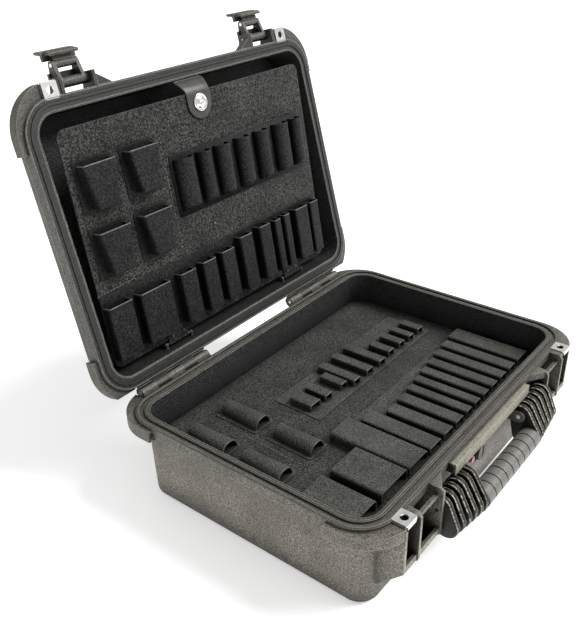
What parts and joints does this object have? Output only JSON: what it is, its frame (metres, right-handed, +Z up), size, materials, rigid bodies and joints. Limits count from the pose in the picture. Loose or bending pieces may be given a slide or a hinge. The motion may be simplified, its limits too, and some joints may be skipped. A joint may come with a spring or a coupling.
{
  "type": "hard tool case",
  "caption": "Open moulded hard tool case with hinged lid, latches, folding handle and two pallets of stitched-look tool pockets.",
  "frame": {"origin": "middle of the flat underside of the case, on the surface it stands on", "axes": "+Z up, -Y to the front with handle and latches, +X to the right seen from the front"},
  "size_m": [0.467, 0.499, 0.468],
  "materials": {
    "case_plastic": "fine moulded grain",
    "pallet_sheet": "grained hide-like sheet",
    "strap": "grained",
    "grip_rubber": "satin",
    "seal_rubber": "satin",
    "bright_steel": "bright",
    "steel": "plain",
    "chrome": "polished",
    "red_plastic": "gloss",
    "valve_plastic": "satin"
  },
  "bodies": {
    "case": {"base_shell": "case_plastic", "hinge_pin_left": "steel", "hinge_pin_right": "steel", "base_padlock_plate_left": "bright_steel", "base_padlock_plate_right": "bright_steel", "handle_pin_left": "steel", "handle_pin_right": "steel", "valve_body": "valve_plastic", "valve_nut": "valve_plastic", "vent_plug": "red_plastic"},
    "lid": {"lid_shell": "case_plastic", "lid_seal": "seal_rubber", "lid_padlock_plate_left": "bright_steel", "lid_padlock_plate_right": "bright_steel", "latch_pin_left": "steel", "latch_pin_right": "steel", "strap_tab": "strap", "tab_rivets": "steel", "pallet_rod_left": "steel", "pallet_rod_right": "steel"},
    "lid_pallet": {"lid_pallet_board": "pallet_sheet", "lid_tube_pockets": "pallet_sheet", "lid_row_pockets": "pallet_sheet", "lid_wedge_pockets": "pallet_sheet", "pallet_clip_left": "pallet_sheet", "pallet_clip_right": "pallet_sheet", "snap_stud": "steel", "pallet_rivets": "steel"},
    "strap": {"strap_flap": "strap", "snap_cap": "chrome"},
    "base_pallet": {"base_pallet_board": "pallet_sheet", "base_long_pockets": "pallet_sheet", "base_box_pockets": "pallet_sheet", "base_short_pockets": "pallet_sheet", "base_holsters": "pallet_sheet"},
    "handle": {"handle_frame": "case_plastic", "handle_grip": "grip_rubber"},
    "valve_dial": {"valve_knob": "valve_plastic"},
    "latch_arm_left": {"latch_arm_left": "case_plastic", "lever_pin_left": "steel"},
    "latch_lever_left": {"latch_lever_left": "case_plastic"},
    "latch_arm_right": {"latch_arm_right": "case_plastic", "lever_pin_right": "steel"},
    "latch_lever_right": {"latch_lever_right": "case_plastic"}
  },
  "joints": [
    {"name": "lid_hinge", "type": "hinge", "parent": "case", "child": "lid", "pos_m": [0, 0.1695, 0.112], "axis": [-1, 0, 0], "range_deg": [-105, 0]},
    {"name": "latch_arm_left_swing", "type": "hinge", "parent": "lid", "child": "latch_arm_left", "pos_m": [-0.147, 0.27115, 0.43727], "axis": [-1, 0, 0], "range_deg": [-90, 0]},
    {"name": "latch_lever_left_pull", "type": "hinge", "parent": "latch_arm_left", "child": "latch_lever_left", "pos_m": [-0.147, 0.27993, 0.45459], "axis": [-1, 0, 0], "range_deg": [0, 65]},
    {"name": "latch_arm_right_swing", "type": "hinge", "parent": "lid", "child": "latch_arm_right", "pos_m": [0.147, 0.27115, 0.43727], "axis": [-1, 0, 0], "range_deg": [-90, 0]},
    {"name": "latch_lever_right_pull", "type": "hinge", "parent": "latch_arm_right", "child": "latch_lever_right", "pos_m": [0.147, 0.27993, 0.45459], "axis": [-1, 0, 0], "range_deg": [0, 65]},
    {"name": "handle_swing", "type": "hinge", "parent": "case", "child": "handle", "pos_m": [0, -0.172, 0.083], "axis": [-1, 0, 0], "range_deg": [0, 90]},
    {"name": "base_pallet_lift", "type": "slide", "parent": "case", "child": "base_pallet", "axis": [0, 0, 1], "range_m": [0, 0.12]},
    {"name": "strap_swing", "type": "hinge", "parent": "lid", "child": "strap", "pos_m": [0.002, 0.25212, 0.41339], "axis": [-1, 0, 0], "range_deg": [0, 95]},
    {"name": "lid_pallet_tilt", "type": "hinge", "parent": "lid", "child": "lid_pallet", "pos_m": [0, 0.19265, 0.13582], "axis": [1, 0, 0], "range_deg": [0, 3.8]},
    {"name": "valve_turn", "type": "hinge", "parent": "case", "child": "valve_dial", "pos_m": [0.002, -0.16, 0.066], "axis": [0, -1, 0], "range_deg": [0, 90]}
  ],
  "couplings": [
    {"joint": "lid_pallet_tilt", "follows": "strap_swing", "ratio": 0.04}
  ]
}
